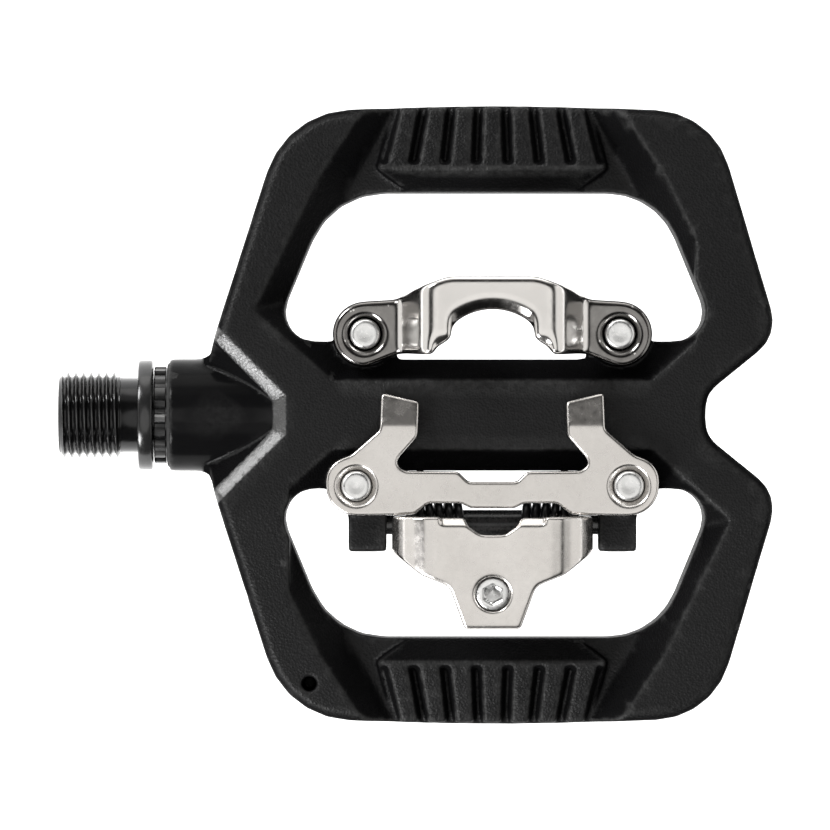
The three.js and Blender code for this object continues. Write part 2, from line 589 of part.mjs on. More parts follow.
function tensionPlate() {
  const { plateTop, plateBottom } = TENSION_STACK;
  const half = 6.1;
  const plan = outline([[-half, -2.6, 1], [half, -2.6, 1], [half, 3, 1], [-half, 3, 1]]);
  const sheet = tailPrism(plan, plateBottom, plateTop);
  return cut(sheet, tailTurned([[0, -8], [TENSION.r + 0.3, -8], [TENSION.r + 0.3, 0], [0, 0]]));
}

function tensionNut() {
  const { plateBottom, nutBottom } = TENSION_STACK;
  const half = 3.7;
  const across = outline([[-half, -half, 0.4], [half, -half, 0.4], [half, half, 0.4], [-half, half, 0.4]]);
  const bore = TENSION.r + FIT / 2;
  const square = tailPrism(across, nutBottom, plateBottom - SEAT_GAP);
  return cut(square, tailTurned([[0, -15], [bore, -15], [bore, 0], [0, 0]]));
}

// Torsion spring wire: front leg against the hub, coils round the sleeve, rear leg under the tension plate.
class SpringPath extends THREE.Curve {
  getPoint(t) {
    const { r, legX, pitch, turns, startDeg, endDeg, frontLeg, rearLeg } = SPRING;
    const from = THREE.MathUtils.degToRad(startDeg);
    const to = THREE.MathUtils.degToRad(endDeg) + turns * 2 * Math.PI;
    const coil = r * (to - from);
    const s = t * (frontLeg + coil + rearLeg) - frontLeg;
    const along = THREE.MathUtils.clamp(s, 0, coil);
    const angle = from + along / r;
    const over = s - along;
    const x = legX + pitch * (to - angle) / (2 * Math.PI);
    const y = PIVOT.y + r * Math.cos(angle) - over * Math.sin(angle);
    const z = PIVOT.z + r * Math.sin(angle) + over * Math.cos(angle);
    return v3(x, y, z);
  }
}

function torsionSpring(side) {
  const section = new THREE.Shape(circle(0, 0, SPRING.wire, 6));
  const extrudePath = new SpringPath();
  const geometry = new THREE.ExtrudeGeometry(section, { steps: 64, extrudePath, bevelEnabled: false });
  return solid(side > 0 ? geometry : geometry.scale(-1, 1, 1));
}

const pivotPin = () => crossRod(-LUG.x1 + 0.1, LUG.x1 - 0.1, PIVOT.y, PIVOT.z, PIVOT.r, 24);

function springSleeve() {
  const half = JAW.half - JAW.sheet - 0.3;
  const tube = (reach, r) => crossRod(-reach, reach, PIVOT.y, PIVOT.z, r, 24);
  return cut(tube(half, 2.5), tube(half + 1, PIVOT.r + FIT));
}

// ---------------------------------------------------------------- spindle cartridge

function spindle() {
  const profile = [
    [THREAD.x1 - 1, 0], [THREAD.x1 - 1, RELIEF_R], [FLANGE.x0, RELIEF_R],
    [FLANGE.x0, FLANGE.r - 0.4], [FLANGE.x0 + 0.4, FLANGE.r],
    [FLANGE.x1 - 0.4, FLANGE.r], [FLANGE.x1, FLANGE.r - 0.4],
    [FLANGE.x1, JOURNAL.r], [JOURNAL.x1, JOURNAL.r], [WAIST.x0, WAIST.r], [BEARING.x0 - SEAT_GAP, WAIST.r],
    [BEARING.x0 - SEAT_GAP, OUTER_JOURNAL.r], [OUTER_JOURNAL.x1, OUTER_JOURNAL.r],
    [OUTER_JOURNAL.x1, SPINDLE_TIP.r], [SPINDLE_TIP.x1 - 0.6, SPINDLE_TIP.r],
    [SPINDLE_TIP.x1, SPINDLE_TIP.r - 0.6], [SPINDLE_TIP.x1, 0],
  ];
  const shaft = turned(profile, 32);
  const length = THREAD.x1 - THREAD.x0;
  const ridge = threadRod(THREAD.r, THREAD.r - THREAD.depth, THREAD.pitch, length + 1);
  const envelope = turned([
    [THREAD.x0, 0], [THREAD.x0, THREAD.r - 1], [THREAD.x0 + 1, THREAD.r + 0.01],
    [THREAD.x1 - 0.6, THREAD.r + 0.01], [THREAD.x1, THREAD.r - 0.7], [THREAD.x1, 0],
  ], 32);
  const thread = solid(ridge.translate(THREAD.x0 - 0.5, 0, AXIS_Z)).intersect(envelope);
  const hexagon = circle(0, AXIS_Z, HEX_KEY.flats / Math.sqrt(3), 6);
  return cut(join(shaft, thread), sidePrism(hexagon, THREAD.x0 - 1, THREAD.x0 + HEX_KEY.depth));
}

// Collar screwed into the neck: toothed flange for a splined tool, smooth barrel behind it.
function retainingCollar() {
  const { flangeX, r, teeth, barrelX, barrelR, bore } = COLLAR;
  const face = NECK.x0 - SEAT_GAP;
  const depth = 0.55;
  const star = Array.from({ length: teeth * 4 }, (_, i) => {
    const radius = i % 4 < 2 ? r : r - depth;
    const angle = 2 * Math.PI * (i + 0.5) / (teeth * 4);
    return v2(radius * Math.cos(angle), AXIS_Z + radius * Math.sin(angle));
  });
  const barrel = ring(face, barrelX, bore, barrelR, 32);
  return join(cut(sidePrism(star, flangeX, face), ring(flangeX - 1, face + 1, 0, bore, 32)), barrel);
}

function lipSeal() {
  const { flangeX, bore } = COLLAR;
  return ring(flangeX + 0.2, flangeX + 1.8, JOURNAL.r + FIT / 2, bore - 0.05);
}

function collarRing() {
  const wire = 0.42;
  const section = circle(NECK.x0 + BORE.ringDepth / 2, (COLLAR.barrelR + BORE.ringR) / 2, wire, 8);
  return turned([...section, section[0]].map((p) => [p.x, p.y]));
}

const inboardBush = () => ring(BUSH.x0, BUSH.x1, BUSH.inner, BUSH.outer, 32);

// Groove for the bearing's balls, as a ring of round section.
function raceGroove(play) {
  const middle = (BEARING.x0 + BEARING.x1) / 2;
  const section = circle(middle, BEARING.pitchR, BEARING.ballR + play, 12);
  return turned([...section, section[0]].map((p) => [p.x, p.y]));
}

const bearingRing = (inner, outer) => cut(ring(BEARING.x0, BEARING.x1, inner, outer), raceGroove(0.06));

const shield = (x) => ring(x, x + 0.3, 5.02, 6.03);

function ball(index, radius = BEARING.ballR) {
  const angle = 2 * Math.PI * index / BEARING.balls;
  const x = (BEARING.x0 + BEARING.x1) / 2;
  const y = BEARING.pitchR * Math.cos(angle);
  const z = AXIS_Z + BEARING.pitchR * Math.sin(angle);
  return solid(new THREE.SphereGeometry(radius, 8, 6).translate(x, y, z));
}

function bearingCage() {
  const middle = (BEARING.x0 + BEARING.x1) / 2;
  const pockets = Array.from({ length: BEARING.balls }, (_, i) => ball(i, BEARING.ballR + 0.12));
  return cut(ring(middle - 1.3, middle + 1.3, 5.15, 5.85), ...pockets);
}

function lockNut() {
  const hexagon = circle(0, AXIS_Z, NUT.flats / Math.sqrt(3), 6);
  return cut(sidePrism(hexagon, NUT.x0, NUT.x1), ring(NUT.x0 - 1, NUT.x1 + 1, 0, SPINDLE_TIP.r + FIT));
}

const spindleWasher = () => ring(BEARING.x1 + 0.1, NUT.x0 - SEAT_GAP, SPINDLE_TIP.r + FIT, 4.9);

// ---------------------------------------------------------------- assembly

place(bodyGroup, 'pedal_body', pedalBody(), COMPOSITE);
place(bodyGroup, 'front_hook', frontHook(), SATIN_STEEL);
place(bodyGroup, 'cleat_plate', cleatPlate(), SATIN_STEEL);
for (const [word, s] of SIDES) {
  place(bodyGroup, `hook_screw_${word}`, plateScrew(s * HOOK.x, HOOK.y, HOOK_TOP + 0.1), BRIGHT_STEEL);
  place(bodyGroup, `plate_screw_${word}`, plateScrew(s * PLATE.x, PLATE.y, PLATE_TOP + 0.1), BRIGHT_STEEL);
}
place(bodyGroup, 'jaw_pivot_pin', pivotPin(), BLACK_STEEL);
place(bodyGroup, 'spring_sleeve', springSleeve(), POLYMER);
place(bodyGroup, 'retaining_collar', retainingCollar(), BLACK_STEEL);
place(bodyGroup, 'collar_o_ring', collarRing(), RUBBER);
place(bodyGroup, 'lip_seal', lipSeal(), RUBBER);
place(bodyGroup, 'inboard_bush', inboardBush(), POLYMER);
place(bodyGroup, 'bearing_outer_ring', bearingRing(6.05, BEARING.r), BEARING_STEEL);
place(bodyGroup, 'bearing_shield_inboard', shield(BEARING.x0 + 0.05), BEARING_STEEL);
place(bodyGroup, 'bearing_shield_outboard', shield(BEARING.x1 - 0.35), BEARING_STEEL);

place(spindleGroup, 'spindle', spindle(), BLACK_STEEL);
place(spindleGroup, 'bearing_inner_ring', bearingRing(BEARING.bore, 4.95), BEARING_STEEL);
place(spindleGroup, 'spindle_washer', spindleWasher(), BEARING_STEEL);
place(spindleGroup, 'lock_nut', lockNut(), BRIGHT_STEEL);
place(spindleGroup, 'bearing_cage', bearingCage(), ALUMINIUM);
for (let i = 0; i < BEARING.balls; i++) place(spindleGroup, `bearing_ball_${i + 1}`, ball(i), BEARING_STEEL);

place(clipGroup, 'rear_jaw', rearJaw(), SATIN_STEEL);
place(clipGroup, 'tension_screw', tensionScrew(), BRIGHT_STEEL);
place(clipGroup, 'tension_plate', tensionPlate(), BRIGHT_STEEL);
place(clipGroup, 'tension_nut', tensionNut(), BRIGHT_STEEL);
for (const [word, s] of SIDES) place(clipGroup, `torsion_spring_${word}`, torsionSpring(s), SPRING_STEEL);

export default pedal;
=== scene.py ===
"""Studio view of a clipless trekking pedal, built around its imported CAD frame."""

import json
import math

import bmesh
import bpy
import numpy as np
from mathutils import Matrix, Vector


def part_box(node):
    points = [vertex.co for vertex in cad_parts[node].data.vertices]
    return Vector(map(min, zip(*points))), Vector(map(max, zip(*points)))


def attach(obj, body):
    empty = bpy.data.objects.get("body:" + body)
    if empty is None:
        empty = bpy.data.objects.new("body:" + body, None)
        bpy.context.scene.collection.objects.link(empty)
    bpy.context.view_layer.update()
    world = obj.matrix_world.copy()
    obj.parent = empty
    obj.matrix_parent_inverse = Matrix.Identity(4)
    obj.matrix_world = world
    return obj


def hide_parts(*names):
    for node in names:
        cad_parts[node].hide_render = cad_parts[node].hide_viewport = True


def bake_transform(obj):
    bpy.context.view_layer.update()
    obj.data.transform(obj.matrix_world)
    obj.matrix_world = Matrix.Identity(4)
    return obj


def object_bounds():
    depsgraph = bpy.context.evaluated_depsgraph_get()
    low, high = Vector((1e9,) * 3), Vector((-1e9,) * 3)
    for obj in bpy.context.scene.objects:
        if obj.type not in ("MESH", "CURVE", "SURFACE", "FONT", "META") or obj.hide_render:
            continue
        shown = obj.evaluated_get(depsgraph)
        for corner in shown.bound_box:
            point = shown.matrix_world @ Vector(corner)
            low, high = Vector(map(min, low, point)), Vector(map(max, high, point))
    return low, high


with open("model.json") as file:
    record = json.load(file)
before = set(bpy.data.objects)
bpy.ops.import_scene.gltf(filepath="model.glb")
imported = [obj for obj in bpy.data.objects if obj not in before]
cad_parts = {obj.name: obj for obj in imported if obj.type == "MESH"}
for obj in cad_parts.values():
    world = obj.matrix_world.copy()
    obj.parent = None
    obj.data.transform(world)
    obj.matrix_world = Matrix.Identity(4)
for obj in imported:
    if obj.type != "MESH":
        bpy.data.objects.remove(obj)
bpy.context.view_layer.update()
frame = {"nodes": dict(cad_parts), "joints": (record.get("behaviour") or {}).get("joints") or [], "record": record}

import openvdb
from mathutils import Vector

MM = 0.001
TAU = 2 * math.pi
JOINTS = {joint["name"]: joint for joint in frame["joints"]}
SPINDLE_Z = JOINTS["body_spin"]["pos_m"][2]
NECK_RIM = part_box("pedal_body")[0].x + 20.1 * MM   # where the plateau's V-shaped rim crosses the neck
NECK_RIM_HALF = 3.3 * MM                            # half width of the flat point of that V
NECK_RADIUS = 9.35 * MM
PLATEAU = 20.4 * MM                                 # height of the body's plateau over the flat side
SEAT_GAP = 0.04                                     # between faces that rest on each other, in mm
EAR_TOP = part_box("front_hook")[0].z + 2.2 * MM      # upper face of the front hook's ears
ARCH_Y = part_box("front_hook")[1].y - 15.3 * MM      # centre of the hook's arch
ARCH_RADIUS = 11.4 * MM                             # outer edge of the arch's bevel
ARCH_HALF = 6.7 * MM                                # half the gap between the arch's two legs
BODIES = frame["record"]["behaviour"]["bodies"]
BODY_OF = {node: body for body, nodes in BODIES.items() for node in nodes}


# ---------------------------------------------------------------- nodes and materials


class Nodes:
    """Adds nodes to one node tree, and links them."""

    def __init__(self, tree):
        self.tree = tree

    def node(self, kind, **values):
        made = self.tree.nodes.new(kind)
        for key, value in values.items():
            setattr(made, key, value)
        return made

    def feed(self, socket, value):
        if isinstance(value, bpy.types.NodeSocket):
            self.tree.links.new(value, socket)
        else:
            socket.default_value = value

    def combine(self, a, b, operation="ADD"):
        made = self.node("ShaderNodeMath", operation=operation)
        self.feed(made.inputs[0], a)
        self.feed(made.inputs[1], b)
        return made.outputs["Value"]

    def length(self, a, b):
        """Length of the vector whose two parts are a and b."""
        squared = self.combine(self.combine(a, a, "MULTIPLY"), self.combine(b, b, "MULTIPLY"))
        return self.combine(squared, 0.5, "POWER")

    def spread(self, value, low, high, to_low=0, to_high=1, smooth=False):
        """The value moved from the range low to high into another range, and kept inside it."""
        made = self.node("ShaderNodeMapRange", interpolation_type="SMOOTHSTEP" if smooth else "LINEAR")
        self.feed(made.inputs["Value"], value)
        for key, number in zip(("From Min", "From Max", "To Min", "To Max"), (low, high, to_low, to_high)):
            made.inputs[key].default_value = number
        return made.outputs["Result"]

    def parts(self, vector):
        """The x, y and z of a vector."""
        made = self.node("ShaderNodeSeparateXYZ")
        self.feed(made.inputs["Vector"], vector)
        return [made.outputs[axis] for axis in "XYZ"]


class Shader(Nodes):
    """A node material under construction: one Principled surface and the nodes that feed it."""

    def __init__(self, name):
        self.material = bpy.data.materials.new(name)
        self.material.use_nodes = True
        super().__init__(self.material.node_tree)
        self.surface = self.tree.nodes["Principled BSDF"]
        self.place = self.node("ShaderNodeTexCoord").outputs["Object"]

    def set(self, **values):
        for key, value in values.items():
            self.feed(self.surface.inputs[key.replace("_", " ")], value)

    def noise(self, size_mm, detail=3, rough=0.6, stretch=(1, 1, 1)):
        """Noise whose features are about size_mm across, in the range 0 to 1."""
        mapping = self.node("ShaderNodeMapping")
        self.feed(mapping.inputs["Vector"], self.place)
        mapping.inputs["Scale"].default_value = stretch
        noise = self.node("ShaderNodeTexNoise")
        self.feed(noise.inputs["Vector"], mapping.outputs["Vector"])
        noise.inputs["Scale"].default_value = 1 / (size_mm * MM)
        noise.inputs["Detail"].default_value = detail
        noise.inputs["Roughness"].default_value = rough
        return noise.outputs["Fac"]

    def grains(self, size_mm):
        """Distance to the nearest of many scattered points, for a pebbled mould texture."""
        cells = self.node("ShaderNodeTexVoronoi")
        self.feed(cells.inputs["Vector"], self.place)
        cells.inputs["Scale"].default_value = 1 / (size_mm * MM)
        return cells.outputs["Distance"]

    def edges(self, low=0.52, high=0.62):
        """1 on sharp outer edges, 0 on flats and in corners."""
        shape = self.node("ShaderNodeNewGeometry").outputs["Pointiness"]
        return self.spread(shape, low, high)

    def xyz(self):
        """The frame's x, y and z at the shaded point, in metres."""
        return self.parts(self.place)

    def on_neck(self):
        """1 out to the round neck's surface, measured from the spindle's axis, and 0 beyond it."""
        _, y, z = self.xyz()
        away = self.length(y, self.combine(z, SPINDLE_Z, "SUBTRACT"))
        return self.spread(away, NECK_RADIUS + 0.2 * MM, NECK_RADIUS + 0.05 * MM)

    def steepness(self):
        """0 on faces that look up or down the frame's z, 1 on steep ones."""
        _, _, up = self.parts(self.node("ShaderNodeTexCoord").outputs["Normal"])
        return self.spread(self.combine(up, 0, "ABSOLUTE"), 0.93, 0.7)

    def inside_rim(self, from_mm, to_mm):
        """0 rising to 1 between two distances inside the V-shaped rim of the plateau, over the neck."""
        x, y, _ = self.xyz()
        before = self.combine(x, NECK_RIM, "SUBTRACT")
        apart = self.combine(self.combine(y, 0, "ABSOLUTE"), NECK_RIM_HALF, "SUBTRACT")
        beside = self.combine(self.combine(before, apart), math.sqrt(0.5), "MULTIPLY")
        return self.spread(self.combine(before, beside, "MAXIMUM"), -from_mm * MM, -to_mm * MM)

    def in_arch(self):
        """1 on the bevel round the front hook's arch, 0 elsewhere."""
        x, y, _ = self.xyz()
        away = self.length(x, self.combine(y, ARCH_Y, "SUBTRACT"))
        near = self.spread(away, ARCH_RADIUS + 0.5 * MM, ARCH_RADIUS - 0.5 * MM)
        between = self.spread(self.combine(x, 0, "ABSOLUTE"), ARCH_HALF + 0.4 * MM, ARCH_HALF)
        return self.combine(near, between, "MULTIPLY")

    def mix(self, share, a, b):
        """The colour a changed into b by this share. The node's colour sockets only have numbers."""
        made = self.node("ShaderNodeMix", data_type="RGBA")
        share_socket, first, second = (made.inputs[index] for index in (0, 6, 7))
        self.feed(share_socket, share)
        self.feed(first, a if not isinstance(a, tuple) else (*a, 1))
        self.feed(second, b if not isinstance(b, tuple) else (*b, 1))
        return made.outputs[2]

    def bump(self, height, depth_mm, before=None):
        made = self.node("ShaderNodeBump")
        made.inputs["Distance"].default_value = depth_mm * MM
        self.feed(made.inputs["Height"], height)
        if before is not None:
            self.feed(made.inputs["Normal"], before)
        return made.outputs["Normal"]


def moulded_composite():
    """Glass-filled black nylon, pebbled: matt sides, rubbed tops, a glossy V and a polished neck."""
    made = Shader("moulded_composite")
    _, y, z = made.xyz()
    near_top = made.spread(z, PLATEAU - 1.6 * MM, PLATEAU - 1.3 * MM)
    glossy = made.combine(made.inside_rim(0, 0.3), near_top, "MULTIPLY")
    polished = made.combine(made.inside_rim(1.9, 2.6), made.on_neck(), "MULTIPLY")
    patchy = made.spread(made.noise(1.2, 5), 0.35, 0.65, 0.3, 1)
    # Sharp edges get a lighter colour in patches: partly real wear from handling, partly a painted highlight where
    # rounded edges would catch the light.
    wear_and_highlight = made.combine(made.edges(0.512, 0.535), patchy, "MULTIPLY")
    tone = made.mix(made.noise(9, 5), (0.003, 0.003, 0.0033), (0.007, 0.007, 0.0073))
    made.set(Base_Color=made.mix(wear_and_highlight, tone, (0.032, 0.032, 0.032)))
    grainy = made.spread(made.noise(0.7, 4), 0.3, 0.7, 0.32, 0.46)
    smooth = made.mix(glossy, grainy, (0.3, 0.3, 0.3))
    made.set(Roughness=made.mix(polished, smooth, (0.16, 0.16, 0.16)))
    beside_hub = made.spread(made.combine(y, 0, "ABSOLUTE"), 13 * MM, 12 * MM)
    sides = made.mix(beside_hub, (0.012, 0.012, 0.012), (0.0, 0.0, 0.0))
    rubbed = made.mix(made.steepness(), (0.22, 0.22, 0.22), sides)
    reflecting = made.mix(glossy, rubbed, (1.0, 1.0, 1.0))
    made.set(Specular_IOR_Level=made.mix(polished, reflecting, (0.05, 0.05, 0.05)))
    made.set(Coat_Weight=made.combine(glossy, 0.5, "MULTIPLY"), Coat_Roughness=0.3)
    grain = made.bump(made.grains(0.42), 0.08)
    pitted = made.bump(made.noise(0.16, 2), 0.05, grain)
    made.set(Normal=made.mix(polished, pitted, made.node("ShaderNodeNewGeometry").outputs["Normal"]))
    return made.material


def tumbled_steel():
    """Stamped steel, nickel plated after tumbling: soft satin with fine random scratches."""
    made = Shader("tumbled_steel")
    tone = made.mix(made.spread(made.noise(9, 3), 0.3, 0.7), (0.62, 0.595, 0.57), (0.68, 0.655, 0.63))
    # Painted highlight: sharp edges get a lighter colour, as if rounded edges caught the light.
    made.set(Base_Color=made.mix(made.edges(), tone, (0.8, 0.78, 0.76)))
    made.set(Metallic=1.0)
    made.set(Roughness=made.spread(made.noise(1.4, 6), 0.3, 0.7, 0.20, 0.30))
    scratches = made.bump(made.noise(0.5, 5, 0.75, (1, 6, 1)), 0.003)
    made.set(Normal=made.bump(made.noise(0.9, 4, 0.7, (5, 1, 1)), 0.003, scratches))
    return made.material


def hook_steel_with_painted_shade():
    """The front hook's steel, with painted shade: darker on its ears and inside its arch."""
    made = Shader("hook_steel_with_painted_shade")
    tone = made.mix(made.noise(5, 4), (0.64, 0.62, 0.60), (0.76, 0.74, 0.72))
    # Painted shade: a darker colour on the ears and on the arch's bevel stands in for the darker reflections that
    # fall there.
    painted_shade = made.mix(made.noise(2.5, 4), (0.12, 0.115, 0.11), (0.30, 0.29, 0.28))
    on_ears = made.spread(made.xyz()[2], EAR_TOP + 0.3 * MM, EAR_TOP + 0.05 * MM)
    painted_shade_zone = made.combine(on_ears, made.in_arch(), "MAXIMUM")
    face = made.mix(painted_shade_zone, tone, painted_shade)
    # Painted highlight: sharp edges get a lighter colour, as if rounded edges caught the light.
    made.set(Base_Color=made.mix(made.edges(), face, (0.8, 0.78, 0.76)))
    made.set(Metallic=1.0)
    made.set(Roughness=made.spread(made.noise(1.4, 6), 0.3, 0.7, 0.13, 0.22))
    made.set(Normal=made.bump(made.noise(0.7, 4, 0.7, (4, 1, 1)), 0.004))
    return made.material


def zinc_screw():
    """Bright zinc plating over turned steel."""
    made = Shader("zinc_screw")
    made.set(Base_Color=made.mix(made.noise(1.2, 5), (0.70, 0.70, 0.70), (0.84, 0.84, 0.83)))
    made.set(Metallic=1.0)
    made.set(Roughness=made.spread(made.noise(0.5, 4), 0.3, 0.7, 0.22, 0.42))
    made.set(Normal=made.bump(made.noise(0.25, 3), 0.01))
    return made.material


def black_oxide():
    """Machined steel under glossy black oxide and a film of oil."""
    made = Shader("black_oxide")
    tone = made.mix(made.noise(3, 4), (0.006, 0.006, 0.006), (0.014, 0.014, 0.015))
    # Painted highlight: sharp edges, such as the thread's crests, get a lighter colour like glints of light.
    made.set(Base_Color=made.mix(made.edges(), tone, (0.12, 0.12, 0.12)))
    made.set(Metallic=0.6)
    made.set(Roughness=made.spread(made.noise(0.8, 4), 0.3, 0.7, 0.14, 0.26))
    made.set(Coat_Weight=0.2, Coat_Roughness=0.12)
    made.set(Normal=made.bump(made.noise(0.3, 3, 0.6, (6, 1, 1)), 0.006))
    return made.material


def spring_wire():
    """Drawn black spring wire."""
    made = Shader("spring_wire")
    made.set(Base_Color=made.mix(made.noise(1, 3), (0.02, 0.02, 0.022), (0.06, 0.06, 0.06)))
    made.set(Metallic=0.9)
    made.set(Roughness=made.spread(made.noise(0.3, 4), 0.3, 0.7, 0.25, 0.42))
    made.set(Normal=made.bump(made.noise(0.2, 3), 0.008))
    return made.material


def ground_steel():
    """Ground bearing steel."""
    made = Shader("ground_steel")
    made.set(Base_Color=made.mix(made.noise(2, 3), (0.5, 0.51, 0.53), (0.66, 0.67, 0.69)))
    made.set(Metallic=1.0)
    made.set(Roughness=made.spread(made.noise(0.4, 4), 0.3, 0.7, 0.12, 0.22))
    made.set(Normal=made.bump(made.noise(0.2, 3, 0.6, (8, 1, 1)), 0.003))
    return made.material


def turned_polymer():
    """Dark acetal, smooth and slightly waxy."""
    made = Shader("turned_polymer")
    made.set(Base_Color=made.mix(made.noise(2, 3), (0.012, 0.012, 0.013), (0.022, 0.022, 0.023)))
    made.set(Roughness=made.spread(made.noise(0.6, 4), 0.3, 0.7, 0.22, 0.34))
    made.set(Normal=made.bump(made.noise(0.3, 3), 0.006))
    return made.material


def seal_rubber():
    """Matt nitrile rubber."""
    made = Shader("seal_rubber")
    made.set(Base_Color=made.mix(made.noise(1, 4), (0.008, 0.008, 0.008), (0.018, 0.018, 0.018)))
    made.set(Roughness=made.spread(made.noise(0.4, 4), 0.3, 0.7, 0.65, 0.85))
    made.set(Normal=made.bump(made.noise(0.15, 3), 0.02))
    return made.material


MATERIALS = {
    "composite": moulded_composite(),
    "satin_steel": tumbled_steel(),
    "bright_steel": zinc_screw(),
    "black_steel": black_oxide(),
    "spring_steel": spring_wire(),
    "bearing_steel": ground_steel(),
    "cage_steel": ground_steel(),
    "polymer": turned_polymer(),
    "rubber": seal_rubber(),
}
OWN_LOOK = {"front_hook": hook_steel_with_painted_shade()}
SLOT_OF = {part["node"]: part["material_slot"] for part in frame["record"]["subparts"]}


def dress(piece, node):
    """Gives a piece the look and the material slot of the CAD node it stands for."""
    piece.data.materials.clear()
    piece.data.materials.append(OWN_LOOK.get(node, MATERIALS[SLOT_OF[node]]))


# ---------------------------------------------------------------- making pieces


def show(name, node, vertices, faces, normals=None):
    """A new smooth-shaded piece that stands for a CAD node and rides on its body."""
    mesh = bpy.data.meshes.new(name)
    mesh.from_pydata(vertices, [], faces)
    mesh.shade_smooth()
    if normals is not None:
        mesh.normals_split_custom_set_from_vertices(normals)
    piece = bpy.data.objects.new(name, mesh)
    bpy.context.scene.collection.objects.link(piece)
    dress(piece, node)
    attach(piece, BODY_OF[node])
    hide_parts(node)
    return piece


def blurred(field, sigma):
    """The field after a Gaussian blur of sigma voxels along each axis."""
    reach = max(1, math.ceil(2.5 * sigma))
    weights = np.exp(-0.5 * (np.arange(-reach, reach + 1) / sigma) ** 2)
    weights = (weights / weights.sum()).astype(np.float32)
    for axis in range(3):
        padding = [(reach, reach) if a == axis else (0, 0) for a in range(3)]
        padded = np.pad(field, padding, mode="edge")
        length = field.shape[axis]
        field = sum(w * np.take(padded, range(k, k + length), axis) for k, w in enumerate(weights))
    return field


def sampled(field, points):
    """Trilinear samples of a field at points given in voxels."""
    base = np.clip(np.floor(points).astype(int), 0, np.array(field.shape) - 2)
    part = points - base
    total = 0
    for corner in np.ndindex(2, 2, 2):
        weight = np.prod(np.where(corner, part, 1 - part), axis=1)
        total = total + weight * field[tuple((base + corner).T)]
    return total


def softened(node, voxel_mm, round_mm, adaptivity=0.0):
    """A CAD node as a dense mesh with edges rounded by round_mm: a blurred distance field, meshed again."""
    mesh = frame["nodes"][node].data
    mesh.calc_loop_triangles()
    points = np.array([v.co for v in mesh.vertices], np.float32)
    triangles = np.array([t.vertices for t in mesh.loop_triangles], np.uint32)
    voxel = voxel_mm * MM
    sigma = round_mm / voxel_mm
    half_width = 3 * sigma + 3
    transform = openvdb.createLinearTransform(voxel)
    grid = openvdb.FloatGrid.createLevelSetFromPolygons(
        points, triangles=triangles, transform=transform, halfWidth=half_width)
    low, high = grid.evalActiveVoxelBoundingBox()
    field = np.empty([b - a + 1 for a, b in zip(low, high)], np.float32)
    grid.copyToArray(field, ijk=low)
    field = blurred(field, sigma).astype(np.float32)
    smooth = openvdb.FloatGrid(float(half_width * voxel))
    smooth.transform = transform
    smooth.copyFromArray(field, ijk=low)
    smooth.gridClass = openvdb.GridClass.LEVEL_SET
    vertices, tris, quads = smooth.convertToPolygons(isovalue=0.0, adaptivity=adaptivity)
    places = vertices / voxel - np.array(low)
    steps = np.eye(3) * 0.5
    normals = np.stack([sampled(field, places + s) - sampled(field, places - s) for s in steps], axis=1)
    normals /= np.linalg.norm(normals, axis=1, keepdims=True) + 1e-12
    faces = [tuple(int(i) for i in reversed(f)) for f in list(quads) + list(tris)]
    return vertices.tolist(), faces, normals.tolist()


def close_up(name, node, vertices, faces, crease=35):
    """Shows a piece made of loops, with its faces turned outwards and creases kept sharp."""
    piece = show(name, node, vertices, faces)
    shell = bmesh.new()
    shell.from_mesh(piece.data)
    bmesh.ops.remove_doubles(shell, verts=shell.verts, dist=1e-7)
    bmesh.ops.recalc_face_normals(shell, faces=shell.faces)
    shell.to_mesh(piece.data)
    shell.free()
    piece.data.set_sharp_from_angle(angle=math.radians(crease))
    return piece


def loop_faces(rows, columns, ring):
    """Faces of a stack of loops: a ring closes on its first loop, any other gets a face at each end."""
    faces = []
    for row in range(rows if ring else rows - 1):
        a, b = row * columns, (row + 1) % rows * columns
        for column in range(columns):
            after = (column + 1) % columns
            faces.append((a + column, a + after, b + after, b + column))
    if not ring:
        faces.append(tuple(reversed(range(columns))))
        faces.append(tuple(range((rows - 1) * columns, rows * columns)))
    return faces


def turned(node, origin, axis, rows, columns=64, ring=False):
    """A turned piece: each row is a distance along the axis and a radius, in mm.

    A radius may be a function of the angle.
    """
    along = Vector(axis).normalized()
    first = Vector((0, 1, 0)) if abs(along.x) > 0.9 else Vector((1, 0, 0))
    second = along.cross(first)
    vertices = []
    for distance, radius in rows:
        for column in range(columns):
            angle = TAU * column / columns
            reach = radius(angle) if callable(radius) else radius
            out = first * math.cos(angle) + second * math.sin(angle)
            vertices.append(Vector(origin) + (along * distance + out * reach) * MM)
    return close_up(node + "_fine", node, vertices, loop_faces(len(rows), columns, ring))


def hexagon(flats):
    """Radius of a hexagon, by its width across flats, as a function of the angle."""
    sector = TAU / 6
    return lambda angle: flats / 2 / math.cos((angle + sector / 2) % sector - sector / 2)


def thread_rows(start, end, crest, root, pitch, chamfer):
    """Rows of a right-hand thread, chamfered at its start and run out at its end.

    Its ridge has a narrow flat crest and straight flanks, with a flat root between the turns.
    """
    rows = []
    rows_per_turn, flank, flat = 12, 3.4, 0.25
    steps = round((end - start) / pitch * rows_per_turn)
    for step in range(steps + 1):
        distance = start + (end - start) * step / steps
        chamfered = crest - chamfer + distance - start
        run_out = crest - chamfer + (end - distance) * 1.5
        limit = min(crest, chamfered, run_out)

        def radius(angle, distance=distance, limit=limit):
            phase = (distance / pitch - angle / TAU) % 1
            ridge = min(1, max(0, 1 + flat - flank * abs(phase - 0.5)))
            return min(limit, root + (crest - root) * ridge)

        rows.append((distance, radius))
    return rows


# ---------------------------------------------------------------- the pedal


